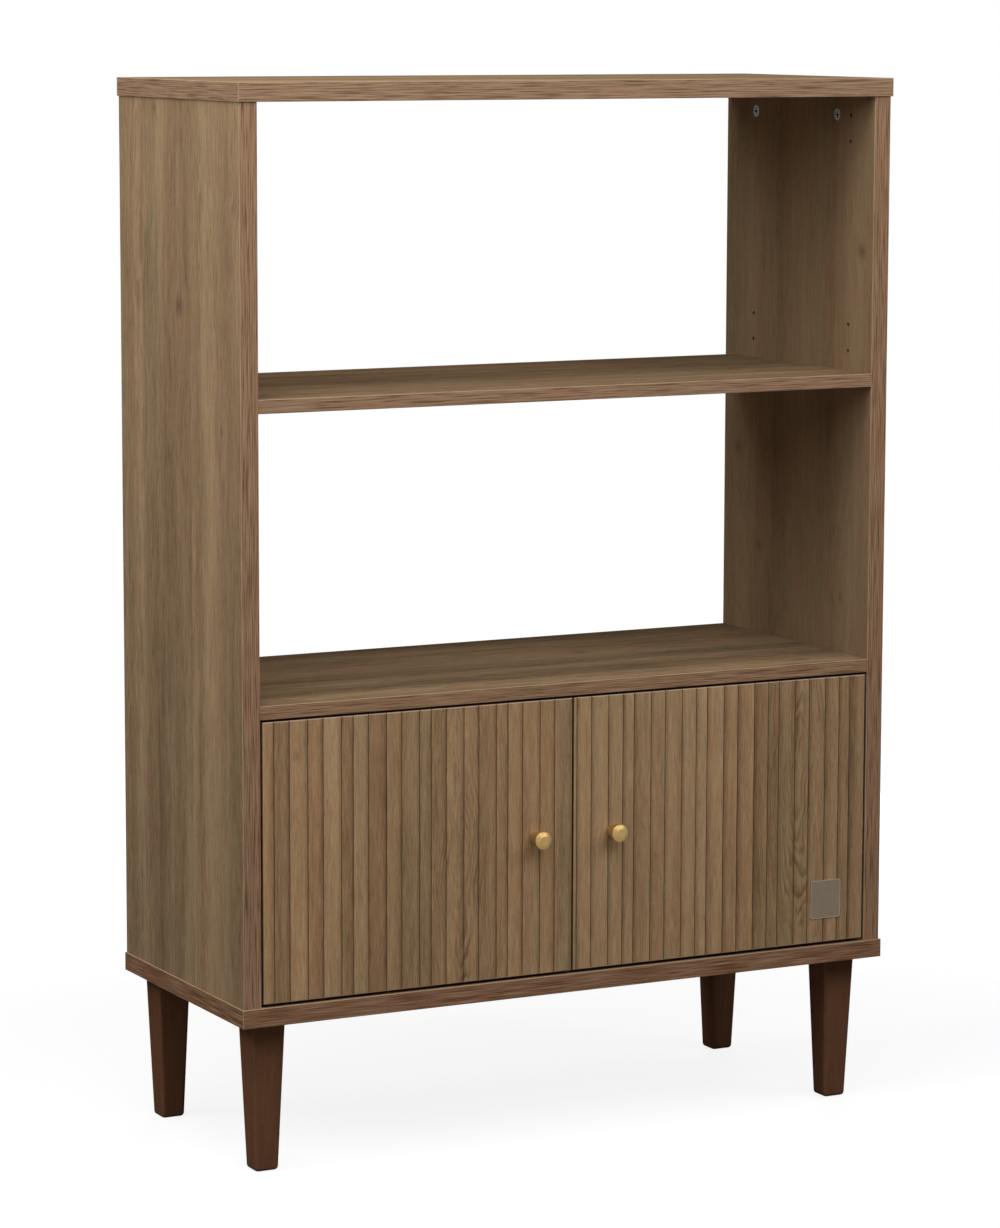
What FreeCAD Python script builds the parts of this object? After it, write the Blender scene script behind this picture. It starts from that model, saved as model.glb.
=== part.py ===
import FreeCAD, Part
import math
import os

# A free-standing bookcase on four tapered legs. Two open bays stand over a closed cabinet, whose
# pair of doors hangs on concealed cup hinges inside the side panels.
#
# Millimetres, +Z up, +X to the right, -Y to the front. The origin is on the floor, at the centre
# of the whole footprint, knobs included. The carcass is the same on both sides of X = 0, so the
# pieces of the right side are drawn, and those of the left side are their mirror images.

os.makedirs("parts", exist_ok=True)
Vec = FreeCAD.Vector
RIGHT = Vec(1, 0, 0)
LEFT = Vec(-1, 0, 0)
FRONT = Vec(0, -1, 0)
BACK = Vec(0, 1, 0)
UP = Vec(0, 0, 1)
DOWN = Vec(0, 0, -1)

# ---------------------------------------------------------------- driving dimensions

# Boards. A deck is the top or the bottom panel: both lie over the ends of the side panels.
carcass_width = 855.0           # outer face to outer face of the side panels
carcass_depth = 348.0           # front edge to back edge of the side panels
side_thickness = 22.0
deck_thickness = 22.0
shelf_thickness = 16.0
deck_overhang = 2.0             # decks stand past the side panels, at the front and at both sides
upper_bay_height = 332.5
middle_bay_height = 332.5
cabinet_bay_height = 334.0
middle_shelf_setback = 15.0     # the middle shelf ends this far short of the back edge
band_thickness = 1.0            # edge bands, glued on
band_arris = 0.9                # rounding of a band's outer edges

# System drilling of the side panels' inner faces.
pitch = 32.0
column_behind_door = 38.5       # back of a closed door to the first column of holes
rear_margin = 60.0              # least distance from the last column to the back edge
end_inset = 23.5                # a bay's end to its first hole, and a board's end to its cam
face_hole_radius = 2.5
face_hole_depth = 12.0

# Cam fittings and dowels.
cam_radius = 7.4
cam_bore_radius = 7.5
cam_recess = 0.3                # the cam's face lies this far below the board's face
cam_beyond_bolt = 5.0           # the cam goes this far past its bolt's axis
cam_cross_length = 9.0
cam_cross_width = 1.8
cam_cross_depth = 3.0
bolt_thread_radius = 2.4
bolt_thread_length = 11.0
bolt_shank_radius = 3.0
bolt_neck_radius = 2.0
bolt_neck_length = 3.0
bolt_head_length = 3.0
bolt_channel_radius = 3.5
dowel_radius = 4.0
dowel_length = 30.0
dowel_in_face = 10.0            # the dowel's share in the board that is drilled in its face
dowel_end_room = 0.5
fit_clearance = 0.05            # radial, between a pin or screw and its hole

# Thin back of the cabinet, held in grooves.
back_thickness = 5.0
back_from_edge = 10.0           # back edge of the side panel to the back panel
groove_depth = 6.0
groove_side_room = 0.1
groove_end_room = 0.5

# Doors.
door_thickness = 16.0
door_gap = 3.0                  # at each door's hinges
gap_above_door = 2.8
gap_below_door = 3.9
meeting_gap = 2.6               # between the two doors
meeting_offset = 1.5            # the middle of that gap, to the left of the carcass's middle
door_arris = 1.0
slat_widths = (15.1, 19.5, 23.1, 19.4, 23.1)    # repeat of the fluted face
left_first_slat = 14.0          # from the door's hinge edge
left_next_slat = 1              # where the repeat goes on after the first slat
right_first_slat = 20.9
right_next_slat = 0
least_last_slat = 3.0           # no flute comes nearer than this to the door's meeting edge
flute_depth = 1.4
flute_angle = 60.0              # between a flank and the door's face
flute_shoulder = 1.5            # radius

# Concealed hinges.
pin_from_door_edge = 9.5
swing_room = 0.4                # left between the door's front corner and the side panel
pin_radius = 1.25
cup_tab = 3.0                   # wood left between the cup's bore and the door's edge
cup_bore_radius = 17.5
cup_bore_room = 0.2             # below the cup
cup_side_room = 0.1             # round the cup
cup_wall = 0.8
flange_thickness = 1.2
flange_margin = 1.0             # round the cup's bore
flange_wing_length = 60.0
flange_wing_width = 13.0
cup_screw_spacing = 48.0
cup_screw_offset = 6.0          # from the cup's centre, away from the door's edge
cup_screw_radius = 1.75
cup_screw_head_radius = 3.4
cup_screw_head_height = 1.6
cup_screw_length = 10.0
screw_end_room = 0.5            # below a screw or bolt in its blind hole
lug_thickness = 2.0
lug_gap = 1.0                   # beside the arm
lug_length = 6.0
lug_height = 2.5                # above the pin's axis
arm_width = 12.0
arm_metal = 1.5
arm_eye_radius = 2.1
arm_eye_room = 0.4              # between the eye and the cup's floor
arm_under_pin = 1.7             # the arm's front plate starts this far before the pin's axis
arm_neck_room = 0.65            # between the neck and the circle that the door's corner swings
arm_cross_room = 0.75           # between that circle and the plate that crosses the door's edge
arm_overhang = 2.0              # of the arm's channel, past each end of the rail
arm_lift = 0.5                  # of the channel's cheeks, off the mounting plate
rail_width = 10.0
rail_height = 9.0
rail_behind_door = 20.0
rail_length = 40.0
rail_side_room = 0.2
plate_thickness = 2.0
plate_margin = 7.0              # above and below the screws' axes
plate_depth = 14.0
plate_screw_head_radius = 4.0
plate_screw_head_height = 1.5
plate_screw_length = 11.0
arm_screw_radius = 2.0
arm_screw_length = 6.0
arm_screw_head_radius = 3.2
arm_screw_head_height = 1.8
arm_screw_end_room = 0.2
arm_screw_place = 12.0          # behind the front column

# Knobs.
knob_length = 26.0
knob_base_radius = 6.7
knob_rim_radius = 10.8
knob_rim_start = 20.8           # from the door to where the flare ends
knob_rim_length = 2.2
knob_rim_rounding = 2.4
knob_face_radius = 5.5
knob_from_meeting_edge = 50.0   # door's meeting edge to the knob's axis
knob_above_middle = 1.0         # of the door's height
knob_thread_radius = 2.0
knob_thread_depth = 10.0
knob_screw_in_knob = 8.0
knob_screw_head_radius = 4.2
knob_screw_head_height = 2.2
knob_screw_head_rounding = 1.0

# Blank metal plate on the right door.
nameplate_width = 42.0
nameplate_height = 47.0
nameplate_thickness = 1.0
nameplate_corner = 2.0
nameplate_from_side = 32.0      # door's hinge edge to the plate
nameplate_from_bottom = 30.0    # door's lower edge to the plate

# Stop behind the doors' meeting edges, and the bumpers that meet it.
stop_width = 70.0
stop_depth = 12.0
stop_height = 14.0
stop_rounding = 1.5
stop_bumper_room = 0.3
stop_screw_radius = 1.75
stop_screw_in_shelf = 10.0
stop_screw_head_radius = 3.5
stop_screw_head_height = 2.0
stop_screw_spacing = 44.0
bumper_radius = 4.0
bumper_thickness = 1.5
bumper_from_edge = 20.0
bumper_from_top = 6.0

# Legs, with their hanger bolts, insert nuts and glides.
leg_length = 179.0
leg_top_width = 42.0
leg_foot_width = 30.0
leg_corner_radius = 3.0
leg_foot_corner_radius = 6.0
leg_foot_rounding = 4.5
leg_side_inset = 41.7           # outer face of the side panel to the leg's axis
leg_front_inset = 44.0          # front edge of the side panel to the leg's axis
leg_back_inset = 29.0           # back edge of the side panel to the leg's axis
hanger_radius = 4.0
hanger_in_leg = 32.0
hanger_in_deck = 15.0
insert_radius = 6.0
insert_length = 16.0
glide_radius = 9.0
glide_thickness = 3.0
glide_proud = 0.5
glide_room = 0.1

# ---------------------------------------------------------------- derived levels and places

front_y = knob_length - (carcass_depth + knob_length) / 2
back_y = front_y + carcass_depth
outer_x = carcass_width / 2
inner_x = outer_x - side_thickness
front_column = door_thickness + column_behind_door

bottom_deck_z = glide_proud + leg_length
bottom_top_z = bottom_deck_z + deck_thickness
cabinet_shelf_z = bottom_top_z + cabinet_bay_height
cabinet_shelf_top_z = cabinet_shelf_z + shelf_thickness
middle_shelf_z = cabinet_shelf_top_z + middle_bay_height
middle_shelf_top_z = middle_shelf_z + shelf_thickness
top_deck_z = middle_shelf_top_z + upper_bay_height

rear_steps = int((carcass_depth - front_column - rear_margin) // pitch)
front_column_y = front_y + front_column
rear_column_y = front_column_y + rear_steps * pitch
deck_cam_ys = (front_column_y + pitch, rear_column_y)
deck_dowel_ys = (front_column_y + 2 * pitch, rear_column_y - pitch)
shelf_cam_ys = (front_column_y, rear_column_y)
shelf_dowel_ys = (front_column_y + pitch, rear_column_y - pitch)

door_bottom_z = bottom_top_z + gap_below_door
door_top_z = cabinet_shelf_z - gap_above_door
door_height = door_top_z - door_bottom_z
knob_z = (door_bottom_z + door_top_z) / 2 + knob_above_middle
door_back_y = front_y + door_thickness
door_edge_x = inner_x - door_gap
# How far each door's meeting edge lies from the carcass's middle, towards its own hinges.
right_meeting_x = meeting_gap / 2 - meeting_offset
left_meeting_x = meeting_gap / 2 + meeting_offset

hinge_inset = end_inset + pitch / 2
hinge_zs = (bottom_top_z + hinge_inset, cabinet_shelf_z - hinge_inset)
# The pin lies as far back as lets the door's front corner swing past the side panel's face.
corner_swing = pin_from_door_edge + door_gap - swing_room
pin_from_front = math.sqrt(corner_swing ** 2 - pin_from_door_edge ** 2)
back_swing = math.hypot(pin_from_door_edge, door_thickness - pin_from_front)
pin_x = door_edge_x - pin_from_door_edge
pin_y = front_y + pin_from_front
cup_x = door_edge_x - cup_tab - cup_bore_radius
cup_radius = cup_bore_radius - cup_side_room
cup_floor_y = pin_y - arm_eye_radius - arm_eye_room - cup_wall
cup_depth = door_back_y - cup_floor_y
rail_front_y = door_back_y + rail_behind_door


# ---------------------------------------------------------------- helpers

def box(x0, x1, y0, y1, z0, z1):
    return Part.makeBox(x1 - x0, y1 - y0, z1 - z0, Vec(x0, y0, z0))


def rod(start, direction, radius, length):
    return Part.makeCylinder(radius, length, start, direction)


def mirrored(shape):
    return shape.mirror(Vec(0, 0, 0), RIGHT)


def both_sides(shapes):
    return shapes + [mirrored(shape) for shape in shapes]


def drilled(board, cuts):
    return board.cut(Part.makeCompound(cuts)) if cuts else board


def write(name, shapes):
    """Write one node: a single piece, or a group of separate like pieces."""
    shape = shapes[0] if len(shapes) == 1 else Part.makeCompound(shapes)
    shape.exportStep(os.path.join("parts", name + ".step"))


def rounded_rectangle(width, height, radius, place):
    """Wire in the XY plane, centred on place; place turns it and moves it."""
    x = width / 2
    y = height / 2
    bend = radius * (1 - math.sqrt(0.5))
    corners = []
    for sx, sy in ((1, 1), (-1, 1), (-1, -1), (1, -1)):
        beside = Vec(sx * x, sy * (y - radius), 0)
        middle = Vec(sx * (x - bend), sy * (y - bend), 0)
        above = Vec(sx * (x - radius), sy * y, 0)
        corners.append((beside, middle, above) if sx * sy > 0 else (above, middle, beside))
    edges = []
    for index, (start, middle, end) in enumerate(corners):
        edges.append(Part.Arc(start, middle, end).toShape())
        edges.append(Part.LineSegment(end, corners[(index + 1) % 4][0]).toShape())
    wire = Part.Wire(edges)
    wire.Placement = place
    return wire


def along_z(z):
    return FreeCAD.Placement(Vec(0, 0, z), FreeCAD.Rotation())


# ---------------------------------------------------------------- boards with glued edge bands

def round_outer_edges(strip, outward, across):
    """Round the two long edges on the strip's outer face; across is the width's direction."""
    middle = strip.BoundBox.Center
    reach = abs(outward.dot(Vec(strip.BoundBox.XLength, strip.BoundBox.YLength, 0))) / 2
    chosen = []
    for edge in strip.Edges:
        offset = edge.CenterOfMass - middle
        if abs(offset.dot(outward) - reach) < 1e-6 and abs(offset.dot(across)) > 1e-6:
            chosen.append(edge)
    return strip.makeFillet(band_arris, chosen)


def banded_board(x0, x1, y0, y1, z0, z1, ends_banded):
    """Board with bands on its front and back edges, and on both ends where ends_banded says so.

    The front and back bands cover the ends of the end bands.
    """
    t = band_thickness
    inset = t if ends_banded else 0.0
    core = box(x0 + inset, x1 - inset, y0 + t, y1 - t, z0, z1)
    upright = z1 - z0 > x1 - x0
    across = RIGHT if upright else UP
    bands = [
        round_outer_edges(box(x0, x1, y0, y0 + t, z0, z1), FRONT, across),
        round_outer_edges(box(x0, x1, y1 - t, y1, z0, z1), BACK, across),
    ]
    if ends_banded:
        bands.append(round_outer_edges(box(x1 - t, x1, y0 + t, y1 - t, z0, z1), RIGHT, UP))
        bands.append(round_outer_edges(box(x0, x0 + t, y0 + t, y1 - t, z0, z1), LEFT, UP))
    return core, bands


# ---------------------------------------------------------------- cam fittings and dowels

def cam_fitting(meeting, into, towards_face, board_thickness):
    """Cam and bolt that pull one board's end onto another board's face.

    meeting is where the bolt's axis crosses the joint, into points into the board that holds the
    cam, and towards_face points from the bolt's axis to the face where the cam shows.
    Returns the cuts in the faced board, the cuts in the cam's board, the cam and the bolt.
    """
    to_face = board_thickness / 2
    centre = meeting + into * end_inset
    face_point = centre + towards_face * to_face
    bore_depth = to_face + cam_beyond_bolt
    thread_hole = rod(meeting, -into, face_hole_radius, face_hole_depth)
    channel = rod(meeting, into, bolt_channel_radius, end_inset)
    bore = rod(face_point, -towards_face, cam_bore_radius, bore_depth)

    cam_top = face_point - towards_face * cam_recess
    cam = rod(cam_top, -towards_face, cam_radius, bore_depth - cam_recess)
    socket_radius = bolt_shank_radius + fit_clearance
    head_end = bolt_neck_length / 2 + bolt_head_length
    socket = rod(centre - into * cam_bore_radius, into, socket_radius,
                 cam_bore_radius + head_end + fit_clearance)
    sideways = into.cross(towards_face)
    cross = [cross_slot(cam_top, -towards_face, arm) for arm in (into, sideways)]
    cam = cam.cut(Part.makeCompound([socket])).cut(cross[0].fuse(cross[1]))

    neck_start = end_inset - bolt_neck_length / 2
    bolt = rod(meeting, -into, bolt_thread_radius, bolt_thread_length)
    bolt = bolt.fuse(rod(meeting, into, bolt_shank_radius, neck_start))
    bolt = bolt.fuse(rod(meeting + into * neck_start, into, bolt_neck_radius, bolt_neck_length))
    head_start = meeting + into * (neck_start + bolt_neck_length)
    bolt = bolt.fuse(rod(head_start, into, bolt_shank_radius, bolt_head_length))
    return [thread_hole], [channel, bore], cam, bolt.removeSplitter()


def cross_slot(top, inward, arm):
    """One of the two slots of a cam's cross recess: it runs along arm and sinks along inward."""
    across = arm.cross(inward)
    corner = top - arm * (cam_cross_length / 2) - across * (cam_cross_width / 2)
    steps = (arm * cam_cross_length, across * cam_cross_width)
    points = [corner, corner + steps[0], corner + steps[0] + steps[1], corner + steps[1], corner]
    return Part.Face(Part.makePolygon(points)).extrude(inward * cam_cross_depth)


def dowel_fitting(meeting, into):
    """Dowel across a joint. Returns the hole in the faced board, the other hole and the dowel."""
    in_end = dowel_length - dowel_in_face
    radius = dowel_radius + fit_clearance
    face_hole = rod(meeting, -into, radius, dowel_in_face + dowel_end_room)
    end_hole = rod(meeting, into, radius, in_end + dowel_end_room)
    dowel = rod(meeting - into * dowel_in_face, into, dowel_radius, dowel_length)
    return [face_hole], [end_hole], dowel


def make_carcass():
    """Side panels, decks, shelves and back panel, with every hole that their fittings need."""
    cuts = {"top": [], "bottom": [], "side": [], "middle": [], "cabinet": []}
    deck_cams, deck_bolts, shelf_cams, shelf_bolts, dowels = [], [], [], [], []
    side_axis_x = outer_x - side_thickness / 2

    for deck, z, into in (("top", top_deck_z, DOWN), ("bottom", bottom_top_z, UP)):
        for y in deck_cam_ys:
            meeting = Vec(side_axis_x, y, z)
            faced, ended, cam, bolt = cam_fitting(meeting, into, LEFT, side_thickness)
            cuts[deck] += faced
            cuts["side"] += ended
            deck_cams.append(cam)
            deck_bolts.append(bolt)
        for y in deck_dowel_ys:
            faced, ended, dowel = dowel_fitting(Vec(side_axis_x, y, z), into)
            cuts[deck] += faced
            cuts["side"] += ended
            dowels.append(dowel)

    for shelf, z in (("middle", middle_shelf_z), ("cabinet", cabinet_shelf_z)):
        axis_z = z + shelf_thickness / 2
        for y in shelf_cam_ys:
            meeting = Vec(inner_x, y, axis_z)
            faced, ended, cam, bolt = cam_fitting(meeting, LEFT, DOWN, shelf_thickness)
            cuts["side"] += faced
            cuts[shelf] += ended
            shelf_cams.append(cam)
            shelf_bolts.append(bolt)
        for y in shelf_dowel_ys:
            faced, ended, dowel = dowel_fitting(Vec(inner_x, y, axis_z), LEFT)
            cuts["side"] += faced
            cuts[shelf] += ended
            dowels.append(dowel)

    # Hinge drilling at both ends of the cabinet bay and of the upper bay, where it stays open,
    # and one more pair in the rear column of each of the two bays.
    first, second = end_inset, end_inset + pitch
    bays = ((bottom_top_z, cabinet_shelf_z, -1), (middle_shelf_top_z, top_deck_z, 1))
    for low, high, rear_end in bays:
        front_levels = (low + first, low + second, high - second, high - first)
        rear_levels = front_levels[:2] if rear_end > 0 else front_levels[2:]
        places = [(front_column_y, z) for z in front_levels]
        places += [(rear_column_y, z) for z in rear_levels]
        for y, z in places:
            cuts["side"].append(rod(Vec(inner_x, y, z), RIGHT, face_hole_radius, face_hole_depth))

    # Grooves for the cabinet's back panel.
    groove_y0 = back_y - back_from_edge - back_thickness - groove_side_room
    groove_y1 = back_y - back_from_edge + groove_side_room
    groove_x = inner_x + groove_depth
    cuts["side"].append(box(inner_x, groove_x, groove_y0, groove_y1,
                            bottom_top_z, cabinet_shelf_z + groove_depth))
    deck_groove = box(-groove_x, groove_x, groove_y0, groove_y1,
                      bottom_top_z - groove_depth, bottom_top_z)
    shelf_groove = box(-inner_x, inner_x, groove_y0, groove_y1,
                       cabinet_shelf_z, cabinet_shelf_z + groove_depth)
    in_groove = groove_depth - groove_end_room
    back = box(-inner_x - in_groove, inner_x + in_groove,
               groove_y0 + groove_side_room, groove_y1 - groove_side_room,
               bottom_top_z - in_groove, cabinet_shelf_z + in_groove)

    # Boards.
    deck_x = outer_x + deck_overhang
    deck_y = front_y - deck_overhang
    top, top_bands = banded_board(-deck_x, deck_x, deck_y, back_y,
                                  top_deck_z, top_deck_z + deck_thickness, True)
    bottom, bottom_bands = banded_board(-deck_x, deck_x, deck_y, back_y,
                                        bottom_deck_z, bottom_top_z, True)
    side, side_bands = banded_board(inner_x, outer_x, front_y, back_y,
                                    bottom_top_z, top_deck_z, False)
    middle, middle_bands = banded_board(-inner_x, inner_x, front_y, back_y - middle_shelf_setback,
                                        middle_shelf_z, middle_shelf_top_z, False)
    cabinet, cabinet_bands = banded_board(-inner_x, inner_x, front_y, back_y,
                                          cabinet_shelf_z, cabinet_shelf_top_z, False)

    insert_holes = [rod(Vec(x, y, bottom_deck_z), UP, insert_radius, insert_length)
                    for x, y in leg_places()]
    side = drilled(side, cuts["side"])
    write("top_panel", [drilled(top, both_sides(cuts["top"]))])
    write("bottom_panel", [drilled(bottom, both_sides(cuts["bottom"]) + [deck_groove]
                                   + insert_holes)])
    write("right_side_panel", [side])
    write("left_side_panel", [mirrored(side)])
    write("middle_shelf", [drilled(middle, both_sides(cuts["middle"]))])
    shelf_cuts = both_sides(cuts["cabinet"]) + [shelf_groove] + stop_screw_holes()
    write("cabinet_shelf", [drilled(cabinet, shelf_cuts)])
    write("cabinet_back_panel", [back])
    write("top_panel_edge_bands", top_bands)
    write("bottom_panel_edge_bands", bottom_bands)
    write("right_side_edge_bands", side_bands)
    write("left_side_edge_bands", [mirrored(band) for band in side_bands])
    write("middle_shelf_edge_bands", middle_bands)
    write("cabinet_shelf_edge_bands", cabinet_bands)
    write("deck_cam_locks", both_sides(deck_cams))
    write("deck_cam_bolts", both_sides(deck_bolts))
    write("shelf_cam_locks", both_sides(shelf_cams))
    write("shelf_cam_bolts", both_sides(shelf_bolts))
    write("dowels", both_sides(dowels))


# ---------------------------------------------------------------- doors

def flute_places(width, first_slat, next_slat):
    """Distances of the flutes from the hinge edge of a door of this width."""
    places = [first_slat]
    index = next_slat
    while places[-1] + slat_widths[index] < width - least_last_slat:
        places.append(places[-1] + slat_widths[index])
        index = (index + 1) % len(slat_widths)
    return places


def flute_cut(x):
    """A V groove with rounded shoulders, for the full height of the door's front."""
    slope = math.radians(flute_angle)
    flank_depth = flute_shoulder * (1 - math.cos(slope))
    flank_x = (flute_depth - flank_depth) / math.tan(slope)
    edge_x = flank_x + flute_shoulder * math.sin(slope)
    half = slope / 2
    bend_x = edge_x - flute_shoulder * math.sin(half)
    bend_depth = flute_shoulder * (1 - math.cos(half))

    def point(dx, depth):
        return Vec(x + dx, front_y + depth, door_bottom_z)

    tip = point(0, flute_depth)
    outline = [
        Part.Arc(point(-edge_x, 0), point(-bend_x, bend_depth), point(-flank_x, flank_depth)),
        Part.LineSegment(point(-flank_x, flank_depth), tip),
        Part.LineSegment(tip, point(flank_x, flank_depth)),
        Part.Arc(point(flank_x, flank_depth), point(bend_x, bend_depth), point(edge_x, 0)),
        Part.LineSegment(point(edge_x, 0), point(-edge_x, 0)),
    ]
    return Part.Face(Part.Wire([line.toShape() for line in outline])).extrude(UP * door_height)


def door_leaf(meeting_x, first_slat, next_slat):
    """The right door, or the left one before it is mirrored, with its bores."""
    leaf = box(meeting_x, door_edge_x, front_y, door_back_y, door_bottom_z, door_top_z)
    front_edges = [edge for edge in leaf.Edges if abs(edge.CenterOfMass.y - front_y) < 1e-6]
    leaf = leaf.makeFillet(door_arris, front_edges)
    places = flute_places(door_edge_x - meeting_x, first_slat, next_slat)
    cuts = [flute_cut(door_edge_x - place) for place in places]
    for z in hinge_zs:
        cuts.append(rod(Vec(cup_x, door_back_y, z), FRONT, cup_bore_radius,
                        cup_depth + cup_bore_room))
        for x, screw_z in cup_screw_places(z):
            radius = cup_screw_radius + fit_clearance
            cuts.append(rod(Vec(x, door_back_y, screw_z), FRONT, radius, cup_screw_length))
    knob_radius = knob_thread_radius + fit_clearance
    cuts.append(rod(knob_point(meeting_x), BACK, knob_radius, door_thickness))
    return drilled(leaf, cuts)


def knob_point(meeting_x):
    return Vec(meeting_x + knob_from_meeting_edge, front_y, knob_z)


def make_knob(meeting_x):
    """Turned knob, flared towards its rim, with a tapped hole in its foot."""
    outline = [
        (0, 0),
        (knob_base_radius, 0),
        (knob_rim_radius, knob_rim_start),
        (knob_rim_radius, knob_rim_start + knob_rim_length),
        (knob_face_radius, knob_length),
        (0, knob_length),
        (0, 0),
    ]
    centre = knob_point(meeting_x)
    wire = Part.makePolygon([centre + Vec(r, -depth, 0) for r, depth in outline])
    knob = Part.Face(wire).revolve(centre, BACK, 360)
    rim = [edge for edge in knob.Edges
           if isinstance(edge.Curve, Part.Circle) and edge.Curve.Radius > knob_rim_radius - 1e-6]
    knob = knob.makeFillet(knob_rim_rounding, rim)
    return knob.cut(rod(centre, FRONT, knob_thread_radius + fit_clearance, knob_thread_depth))


def make_knob_screw(meeting_x):
    """Machine screw through the door from behind."""
    start = knob_point(meeting_x) + BACK * door_thickness
    shank = rod(start, FRONT, knob_thread_radius, door_thickness + knob_screw_in_knob)
    head = rod(start, BACK, knob_screw_head_radius, knob_screw_head_height)
    rim = [edge for edge in head.Edges if abs(edge.CenterOfMass.y - head.BoundBox.YMax) < 1e-6]
    return shank.fuse(head.makeFillet(knob_screw_head_rounding, rim)).removeSplitter()


def make_nameplate():
    """Blank metal plate, glued on the right door's face."""
    x = door_edge_x - nameplate_from_side - nameplate_width / 2
    z = door_bottom_z + nameplate_from_bottom + nameplate_height / 2
    upright = FreeCAD.Placement(Vec(x, front_y, z), FreeCAD.Rotation(RIGHT, 90))
    outline = rounded_rectangle(nameplate_width, nameplate_height, nameplate_corner, upright)
    return Part.Face(outline).extrude(FRONT * nameplate_thickness)


def make_bumper(meeting_x):
    disc = rod(Vec(meeting_x + bumper_from_edge, door_back_y, door_top_z - bumper_from_top), BACK,
               bumper_radius, bumper_thickness)
    rim = [edge for edge in disc.Edges if abs(edge.CenterOfMass.y - disc.BoundBox.YMax) < 1e-6]
    return disc.makeFillet(bumper_thickness / 2, rim)


# ---------------------------------------------------------------- hinges

def cup_screw_places(z):
    x = cup_x - cup_screw_offset
    return [(x, z - cup_screw_spacing / 2), (x, z + cup_screw_spacing / 2)]


def make_hinge_cup(z):
    """Pressed cup with its mounting flange, and two lugs inside that hold the pin."""
    centre = Vec(cup_x, cup_floor_y, z)
    cup = rod(centre, BACK, cup_radius, cup_depth)
    wing_x = cup_x - cup_screw_offset
    wings = box(wing_x - flange_wing_width / 2, wing_x + flange_wing_width / 2,
                door_back_y, door_back_y + flange_thickness,
                z - flange_wing_length / 2, z + flange_wing_length / 2)
    flange = rod(Vec(cup_x, door_back_y, z), BACK, cup_bore_radius + flange_margin,
                 flange_thickness).fuse(wings)
    hollow = rod(centre + BACK * cup_wall, BACK, cup_radius - cup_wall,
                 cup_depth + flange_thickness)
    cup = cup.fuse(flange).cut(hollow)

    inside = arm_width / 2 + lug_gap
    lugs = []
    for low in (z + inside, z - inside - lug_thickness):
        lugs.append(box(pin_x - lug_length / 2, pin_x + lug_length / 2,
                        cup_floor_y, pin_y + lug_height, low, low + lug_thickness))
    lugs = Part.makeCompound(lugs).common(rod(centre, BACK, cup_radius, cup_depth))
    cup = cup.fuse(lugs)
    pin_hole = rod(Vec(pin_x, pin_y, z - arm_width), UP, pin_radius + fit_clearance, 2 * arm_width)
    # The pin's hole goes through the lugs and stops at the cup's wall.
    pin_hole = pin_hole.common(rod(centre, BACK, cup_radius - cup_wall, cup_depth))
    screws = [rod(Vec(x, door_back_y, screw_z), BACK, cup_screw_radius + fit_clearance,
                  flange_thickness) for x, screw_z in cup_screw_places(z)]
    return drilled(cup, [pin_hole] + screws).removeSplitter()


def make_hinge_pin(z):
    length = arm_width + 2 * (lug_gap + lug_thickness)
    return rod(Vec(pin_x, pin_y, z - length / 2), UP, pin_radius, length)


def cup_screws(z):
    """Two countersunk wood screws that hold the cup's flange on the door."""
    screws = []
    for x, screw_z in cup_screw_places(z):
        seat = door_back_y + flange_thickness
        shank = rod(Vec(x, seat, screw_z), FRONT, cup_screw_radius,
                    cup_screw_length + flange_thickness - screw_end_room)
        head = Part.makeCone(cup_screw_head_radius, cup_screw_radius, cup_screw_head_height,
                             Vec(x, seat, screw_z), BACK)
        screws.append(shank.fuse(head).removeSplitter())
    return screws


def make_hinge_arm(z):
    """Gooseneck arm: eye on the pin, neck out of the cup, channel over the plate's rail."""
    half = arm_width / 2
    neck_x0 = pin_x - back_swing - arm_neck_room - arm_metal
    front_plate_y = pin_y - arm_under_pin
    cross_y = pin_y + back_swing + arm_cross_room
    top_x = inner_x - rail_height
    eye = rod(Vec(pin_x, pin_y, z - half), UP, arm_eye_radius, arm_width)
    front_plate = box(neck_x0, pin_x, front_plate_y, front_plate_y + arm_metal,
                      z - half, z + half)
    neck = box(neck_x0, neck_x0 + arm_metal, front_plate_y, cross_y + arm_metal,
               z - half, z + half)
    crossing = box(neck_x0, top_x, cross_y, cross_y + arm_metal, z - half, z + half)
    cheek = rail_width / 2 + rail_side_room
    channel_y1 = rail_front_y + rail_length + arm_overhang
    roof = box(top_x - arm_metal, top_x, cross_y, channel_y1,
               z - cheek - arm_metal, z + cheek + arm_metal)
    arm = eye.fuse([front_plate, neck, crossing, roof])
    cheek_x1 = inner_x - plate_thickness - arm_lift
    for low in (z + cheek, z - cheek - arm_metal):
        arm = arm.fuse(box(top_x, cheek_x1, rail_front_y - arm_overhang, channel_y1,
                           low, low + arm_metal))
    pin_hole = rod(Vec(pin_x, pin_y, z - half), UP, pin_radius + fit_clearance, arm_width)
    screw_hole = rod(Vec(top_x, arm_screw_y(), z), LEFT,
                     arm_screw_radius + fit_clearance, arm_metal)
    return drilled(arm, [pin_hole, screw_hole]).removeSplitter()


def arm_screw_y():
    return front_column_y + arm_screw_place


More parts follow.
